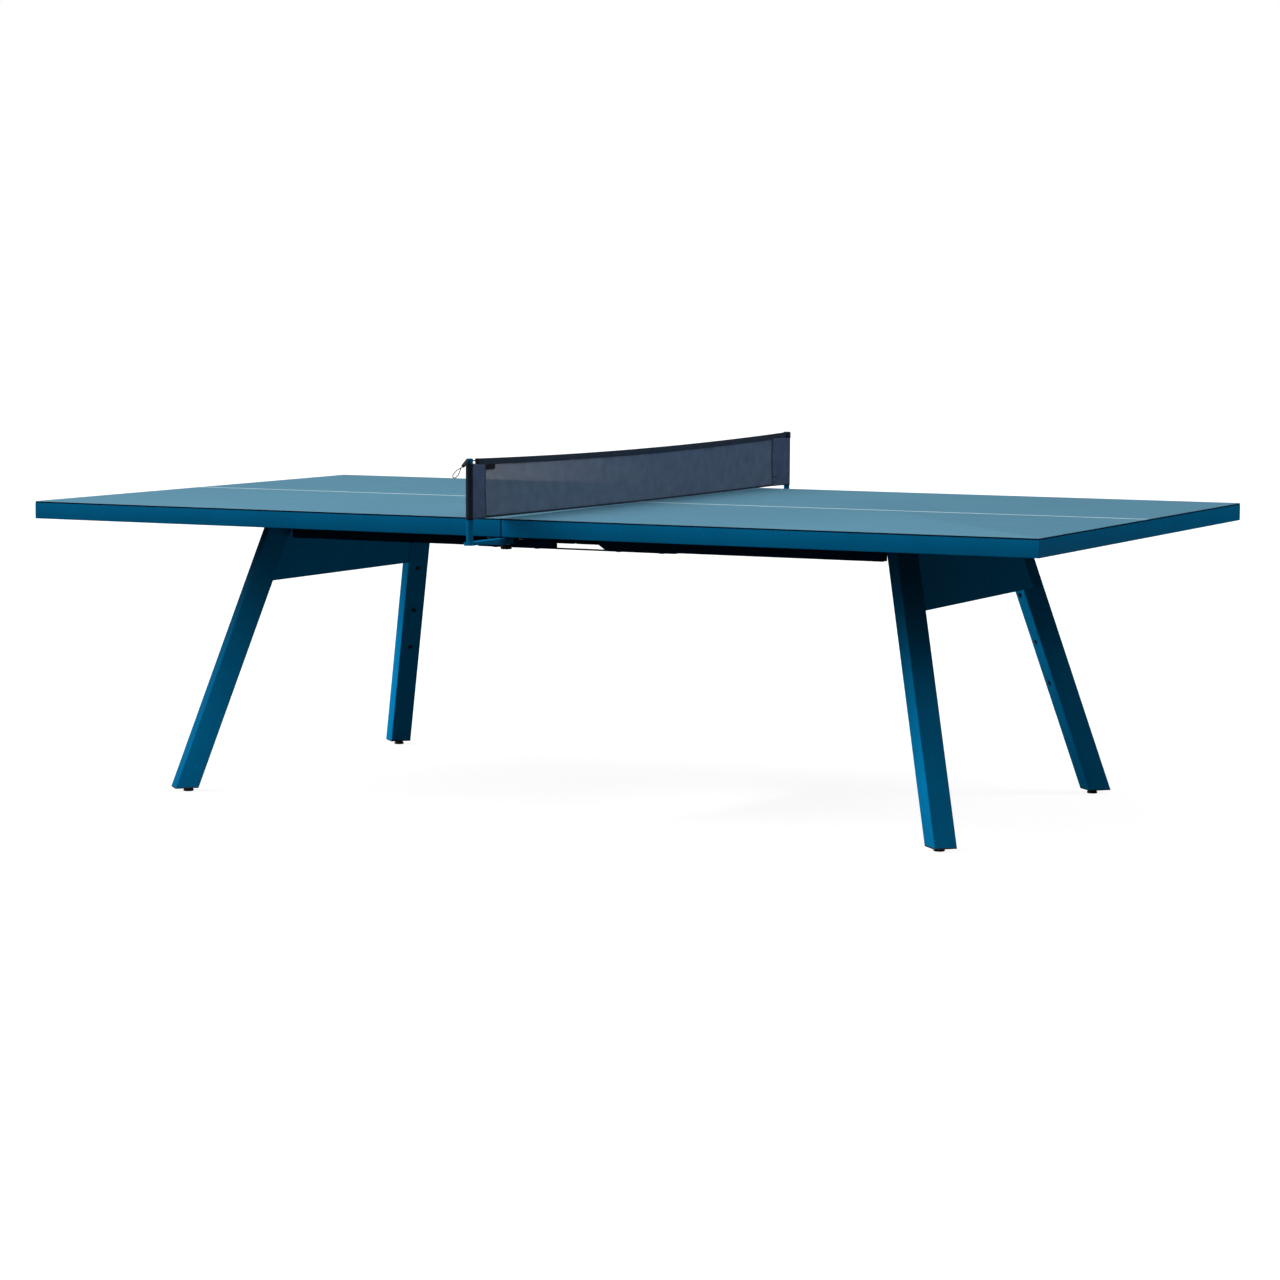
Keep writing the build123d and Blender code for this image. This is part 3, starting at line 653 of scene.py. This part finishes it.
def make_band_stitches(end, side, seam, box):
    """Stitches beside the seam and the sleeve, and along the two ends of a band."""
    bm = bmesh.new()
    bottom, top = box[0][2] + 0.003, box[1][2] - 0.003
    near_seam = seam + side * 0.0042
    near_sleeve = side * (POST_Y - SLEEVE_OUT - 0.003)
    for face in (-1, 1):
        def out(y, z, face=face):
            own = band_half(y, side, seam) + 0.0001
            t = (y - seam) / (side * POST_Y - seam)
            return face * own + (net_x(y, z) + pucker(y, z)) * (1 - t)
        for y in (near_seam, near_sleeve):
            sew(bm, lambda t, y=y, out=out: (out(y, bottom + (top - bottom) * t), y,
                                             bottom + (top - bottom) * t), top - bottom)
        for z in (bottom, top):
            sew(bm, lambda t, z=z, out=out: (out(near_seam + (near_sleeve - near_seam) * t, z),
                                             near_seam + (near_sleeve - near_seam) * t, z),
                abs(near_sleeve - near_seam))
    raise_top(bm, end, side, seam, box)
    rows = add_object(f"net_band_stitches_{end}", bm, [M_STITCH], "net_set")


def rounded_patch(name, x0, x1, y0, y1, z0, z1, radius, material, body):
    """A thin patch in the net's plane with rounded corners."""
    bm = bmesh.new()
    loops = []
    for x, inset in ((x0, 0.0), (x1 - 0.0002, 0.0), (x1, 0.0002)):
        outline = rounded_outline(y0 + inset, y1 - inset, z0 + inset, z1 - inset, [radius - inset] * 4)
        loops.append([(x, y, z) for y, z in outline])
    closed_solid(bm, loops)
    patch = add_object(name, bm, [material], body)


def make_label():
    """The blank woven label beside the near seam."""
    top = tape_z(NEAR_SEAM) - TAPE_DEPTH - 0.0004
    rounded_patch("net_label", 0.0006, 0.0013, NEAR_SEAM + 0.0022, NEAR_SEAM + 0.047, top - 0.0125, top,
                  0.0025, M_THREAD, "net_set")


def make_tape_binding():
    """The black binding round the near end of the tape."""
    half = TAPE_THICK / 2 + 0.0005

    def section(y):
        return rounded_section(0.0, tape_z(y) + 0.0003, tape_z(y) - TAPE_DEPTH - 0.0002, half)
    swept_strip("net_tape_binding", TAPE_NEAR[0] - 0.0004, TAPE_NEAR[0] + 0.0105, 6, section, M_THREAD)


def make_bar_tack():
    """The dark bar of thread sewn across the far band near its foot."""
    z = BAND_REAR[0][2] + 0.026
    points = []
    for k in range(13):
        y = FAR_SEAM + 0.030 * k / 12
        points.append((band_half(y, 1, FAR_SEAM) + net_x(y, z) + 0.0003, y, z - 0.0006 * math.sin(k / 2)))
    tube_along("net_bar_tack", points, 0.0008, M_THREAD, "net_set", sides=8)


def tube_along(name, points, radius, material, body, sides=10):
    """A round tube mesh along a list of points."""
    bm = bmesh.new()
    points = [Vector(p) for p in points]
    loops = []
    for i, p in enumerate(points):
        ahead = points[min(i + 1, len(points) - 1)] - points[max(i - 1, 0)]
        turn = ahead.to_track_quat("Z", "Y").to_matrix()
        loops.append([p + turn @ Vector((radius * math.cos(a), radius * math.sin(a), 0))
                      for a in (2 * math.pi * k / sides for k in range(sides))])
    closed_solid(bm, loops)
    tube = add_object(name, bm, [material], body)


def make_seam(end, seam):
    """The black cord sewn in the seam between mesh and band, slightly wavy."""
    points = []
    low, top = hem_z(seam), tape_z(seam) - TAPE_DEPTH
    for k in range(41):
        t = k / 40
        z = low + 0.0012 + (top - low - 0.0012) * t
        points.append((net_x(seam, z), seam + 0.0016 * math.sin(2.2 * math.pi * t + 0.6), z))
    tube_along(f"net_seam_{end}", points, 0.0019, M_THREAD, "net_set", sides=8)


# ---- feet and thumb screws ----
THREAD_PITCH = 0.00125
GRIP_FROM = 0.009  # the knob's grooves cut in beyond this radius
KNOB_RADIUS = 0.014
KNOB_HEIGHT = 0.010
KNOB_STUD_RADIUS = 0.004


def turned(name, centre, profile, material, body, steps=48, shape=None):
    """A turned piece from (radius, z) points; shape(angle) takes a little off the radius."""
    bm = bmesh.new()
    cx, cy = centre
    loops = []
    for r, z in profile:
        loop = []
        for i in range(steps):
            a = 2 * math.pi * i / steps
            own = r - (shape(a) if shape and r > GRIP_FROM else 0.0)
            loop.append((cx + own * math.cos(a), cy + own * math.sin(a), z))
        loops.append(loop)
    closed_solid(bm, loops)
    piece = add_object(name, bm, [material], body)
    return piece


def threaded_rod(name, node_name, z0, z1, radius, body, around=20, per_turn=5):
    """A rod with a helical thread, cut inwards from its outer radius."""
    low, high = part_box(node_name)
    cx, cy = (low[0] + high[0]) / 2, (low[1] + high[1]) / 2
    depth = 0.0006
    rows = round((z1 - z0) / THREAD_PITCH * per_turn)
    bm = bmesh.new()
    loops = []
    for k in range(rows + 1):
        z = z0 + (z1 - z0) * k / rows
        loop = []
        for i in range(around):
            phase = ((z - z0) / THREAD_PITCH + i / around) % 1.0
            r = radius - depth * abs(2 * phase - 1)
            a = 2 * math.pi * i / around
            loop.append((cx + r * math.cos(a), cy + r * math.sin(a), z))
        loops.append(loop)
    closed_solid(bm, loops)
    rod = add_object(name, bm, [M_ZINC], body)
    return rod


def make_foot(corner):
    """One levelling foot: a ribbed pad and its threaded stud."""
    low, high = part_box(f"foot_pad_{corner}")
    centre = ((low[0] + high[0]) / 2, (low[1] + high[1]) / 2)
    r = (high[0] - low[0]) / 2
    profile = [(r - 0.0025, 0.0006), (r - 0.0016, 0.0), (r - 0.0006, 0.0003), (r, 0.0012), (r, 0.0026),
               (r - 0.0005, 0.0029), (r - 0.0005, 0.0033), (r, 0.0036), (r - 0.0004, 0.0045),
               (r - 0.0035, 0.0074), (r - 0.0043, 0.0079), (0.0045, 0.008), (0.0042, 0.0072), (0.0042, 0.004)]
    pad = turned(f"foot_tread_{corner}", centre, profile, M_RUBBER, f"foot_pad_{corner}")
    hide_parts(f"foot_pad_{corner}")
    stud_low, stud_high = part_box(f"foot_stud_{corner}")
    stud = threaded_rod(f"foot_thread_{corner}", f"foot_stud_{corner}", stud_low[2] + 0.0012, stud_high[2],
                        (stud_high[0] - stud_low[0]) / 2, f"foot_stud_{corner}")
    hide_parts(f"foot_stud_{corner}")


def knob_grip(a):
    """How far the knob's finger grooves and fine ribs cut in at an angle."""
    groove = 0.0021 * max(0.0, -math.cos(6 * a)) ** 3
    rib = 0.00022 * (0.5 + 0.5 * math.cos(48 * a))
    return groove + rib


def make_thumb_screw(end, side):
    """One thumb screw: a lobed knob with a turned face, and its thread."""
    low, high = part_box(f"thumb_screw_{end}")
    centre = ((low[0] + high[0]) / 2, (low[1] + high[1]) / 2)
    r = KNOB_RADIUS
    z0, z1 = low[2], low[2] + KNOB_HEIGHT
    profile = [(0.0085, z0 + 0.0012), (0.0094, z0 + 0.0004), (0.0106, z0), (r - 0.0014, z0 + 0.0004),
               (r - 0.0004, z0 + 0.0014), (r, z0 + 0.0028), (r, z1 - 0.0016), (r - 0.0005, z1 - 0.0005),
               (r - 0.0014, z1), (0.0085, z1)]
    knob = turned(f"thumb_knob_{end}", centre, profile, M_BLACK, f"thumb_screw_{end}",
                  steps=192, shape=knob_grip)
    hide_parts(f"thumb_screw_{end}")
    threaded_rod(f"thumb_thread_{end}", f"thumb_screw_{end}", z1, high[2], KNOB_STUD_RADIUS,
                 f"thumb_screw_{end}")


# ---- tension cord ----
CORD_DIAMETER = 0.002
CORD_ROUTE = [
    (-1.6, -947.6, 892.7),
    (-2.6, -951.6, 889),
    (-4.0, -954, 882.5),
    (-5.4, -957, 875.5),
    (-7.0, -962, 869.5),
    (-9.2, -969, 865.8),
    (-11.8, -974.8, 867.3),
    (-11.4, -975.6, 873),
    (-8.6, -970.5, 879.5),
    (-5.4, -964, 885),
    (-1.6, -956.5, 888.6),
    (1.4, -947.6, 892.7),
]


def make_cord():
    """The loop that hangs from the cord lock."""
    curve = bpy.data.curves.new("tension_cord_loop", "CURVE")
    curve.dimensions = "3D"
    curve.bevel_depth = CORD_DIAMETER / 2
    curve.bevel_resolution = 4
    curve.resolution_u = 8
    spline = curve.splines.new("NURBS")
    spline.points.add(len(CORD_ROUTE) - 1)
    for point, place in zip(spline.points, CORD_ROUTE):
        point.co = (*[v * MM for v in place], 1)
    spline.order_u = 3
    spline.use_endpoint_u = True
    curve.materials.append(M_CORD)
    cord = bpy.data.objects.new("tension_cord_loop", curve)
    bpy.context.scene.collection.objects.link(cord)
    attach(cord, "net_set")
    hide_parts("tension_cord")


# ---- camera, light and floor ----
CAMERA_PLACE = (4.040, -8.106, 1.302)
CAMERA_YAW, CAMERA_PITCH, CAMERA_ROLL = 26.52, 84.31, 0.25
CAMERA_LENS = 98.13
CAMERA_SENSOR = 36
CAMERA_REACH = 200


def make_camera():
    """The view of the photograph."""
    camera = bpy.data.objects.new("camera", bpy.data.cameras.new("camera"))
    yaw, pitch, roll = (math.radians(a) for a in (CAMERA_YAW, CAMERA_PITCH, CAMERA_ROLL))
    turn = Matrix.Rotation(yaw, 4, "Z") @ Matrix.Rotation(pitch, 4, "X") @ Matrix.Rotation(roll, 4, "Z")
    camera.matrix_world = Matrix.Translation(CAMERA_PLACE) @ turn
    camera.data.lens = CAMERA_LENS
    camera.data.sensor_width = CAMERA_SENSOR
    camera.data.clip_end = CAMERA_REACH
    bpy.context.scene.collection.objects.link(camera)
    bpy.context.scene.camera = camera


# soft light from the sky: (bearing, elevation, sharpness, strength); bearing 0 is the front, 90 the right
SKY_LOBES = [
    (0, 85, 2, 0.6),
    (296, 41, 7, 5.3),
    (112, 40, 60, 9.0),
]
FLOOR_HALF = 90
# soft boxes: (place, target, size, power, spread in degrees)
SOFT_BOXES = [
    ((0.45, -0.1, 0.22), (-1.2, 0.2, 0.35), (0.5, 0.25), 1.0, 130),
    ((0.2, -0.35, 0.3), (1.05, 0.5, 0.42), (0.3, 0.2), 0.8, 60),
    ((2.8, 1.2, 0.15), (1.05, 0.0, 0.62), (1.0, 0.4), 3, 120),
    ((0.6, -1.7, 0.02), (0.6, -1.6, 1.0), (3.2, 0.8), 3, 180),
    ((-1.9, -0.4, 0.1), (-1.05, 0.54, 0.2), (0.3, 0.2), 1.5, 60),
    ((0.0, -1.9, 0.25), (-1.2, -0.7, 0.15), (0.3, 0.3), 0.8, 40),
    ((0.2, -1.2, 0.15), (1.1, -0.6, 0.2), (0.2, 0.2), 0.4, 40),
]


def area_light(place, target, size, power, spread):
    """A soft box that points at a target and isn't seen itself."""
    data = bpy.data.lights.new("soft_box", "AREA")
    data.shape = "RECTANGLE"
    data.size, data.size_y = size
    data.energy = power
    data.spread = math.radians(spread)
    light = bpy.data.objects.new("soft_box", data)
    light.location = place
    light.rotation_euler = (Vector(target) - Vector(place)).to_track_quat("-Z", "Y").to_euler()
    light.visible_camera = False
    bpy.context.scene.collection.objects.link(light)


def direction(bearing, elevation):
    """The unit vector towards a bearing and an elevation."""
    b, e = math.radians(bearing), math.radians(elevation)
    return Vector((math.sin(b) * math.cos(e), -math.cos(b) * math.cos(e), math.sin(e)))


def math_node(tree, operation, first, second):
    """A math node whose inputs are sockets or numbers."""
    made = node(tree, "ShaderNodeMath", operation=operation)
    for socket, value in zip(made.inputs, (first, second)):
        if hasattr(value, "links"):
            tree.links.new(value, socket)
        else:
            socket.default_value = value
    return made.outputs[0]


def sky_light(tree, vector):
    """The sum of the soft lobes, with nothing from below the horizon."""
    total = None
    for bearing, elevation, sharpness, strength in SKY_LOBES:
        dot = node(tree, "ShaderNodeVectorMath", operation="DOT_PRODUCT")
        dot.inputs[1].default_value = direction(bearing, elevation)
        tree.links.new(vector, dot.inputs[0])
        facing = math_node(tree, "MAXIMUM", dot.outputs["Value"], 0.0)
        lobe = math_node(tree, "POWER", facing, sharpness)
        weighted = math_node(tree, "MULTIPLY", lobe, strength)
        total = weighted if total is None else math_node(tree, "ADD", total, weighted)
    split = node(tree, "ShaderNodeSeparateXYZ")
    tree.links.new(vector, split.inputs[0])
    above = node(tree, "ShaderNodeMapRange")
    above.inputs["From Min"].default_value = -0.02
    above.inputs["From Max"].default_value = 0.02
    tree.links.new(split.outputs["Z"], above.inputs["Value"])
    return math_node(tree, "MULTIPLY", total, above.outputs["Result"])


def make_world():
    """A plain white backdrop, with soft sky light on the table."""
    world = bpy.data.worlds.new("studio")
    bpy.context.scene.world = world
    world.use_nodes = True
    tree = world.node_tree
    place = node(tree, "ShaderNodeTexCoord")
    sky = tree.nodes["Background"]
    sky.inputs["Color"].default_value = (1, 1, 1, 1)
    tree.links.new(sky_light(tree, place.outputs["Generated"]), sky.inputs["Strength"])
    backdrop = node(tree, "ShaderNodeBackground", Color=(1, 1, 1, 1), Strength=1.0)
    path = node(tree, "ShaderNodeLightPath")
    mix = node(tree, "ShaderNodeMixShader")
    tree.links.new(path.outputs["Is Camera Ray"], mix.inputs[0])
    tree.links.new(sky.outputs[0], mix.inputs[1])
    tree.links.new(backdrop.outputs[0], mix.inputs[2])
    tree.links.new(mix.outputs[0], tree.nodes["World Output"].inputs["Surface"])


def make_floor():
    """A plain pale floor that takes a faint shadow and lends no light to the table."""
    bm = bmesh.new()
    bmesh.ops.create_grid(bm, x_segments=1, y_segments=1, size=FLOOR_HALF)
    mesh = bpy.data.meshes.new("floor")
    bm.to_mesh(mesh)
    bm.free()
    material, tree, shader = new_material("floor_paint")
    shader.inputs["Base Color"].default_value = (0.22, 0.22, 0.22, 1)
    shader.inputs["Roughness"].default_value = 1.0
    shader.inputs["Specular IOR Level"].default_value = 0.0
    shader.inputs["Emission Color"].default_value = (1, 1, 1, 1)
    shader.inputs["Emission Strength"].default_value = 0.9
    mesh.materials.append(material)
    floor = bpy.data.objects.new("floor", mesh)
    bpy.context.scene.collection.objects.link(floor)
    floor.visible_diffuse = False
    floor.visible_glossy = False


bpy.context.scene.view_settings.view_transform = "Standard"
make_camera()
make_world()
make_floor()
for box_light in SOFT_BOXES:
    area_light(*box_light)

dress_cad_nodes()
for half, sign in (("left", -1), ("right", 1)):
    make_board(half, sign)
    make_centre_line(half, sign)
    make_edge_frame(half, sign)
make_net_mesh()
make_tape()
make_tape_pocket()
make_hem()
make_tape_binding()
make_tape_stitches()
for end, side, seam, box in (("front", -1, NEAR_SEAM, BAND_FRONT), ("rear", 1, FAR_SEAM, BAND_REAR)):
    make_band(end, side, seam, box)
    make_band_stitches(end, side, seam, box)
    make_thumb_screw(end, side)
make_label()
make_bar_tack()
for corner in ("front_left", "front_right", "rear_left", "rear_right"):
    make_foot(corner)
make_seam("front", NEAR_SEAM)
make_seam("rear", FAR_SEAM)
make_cord()
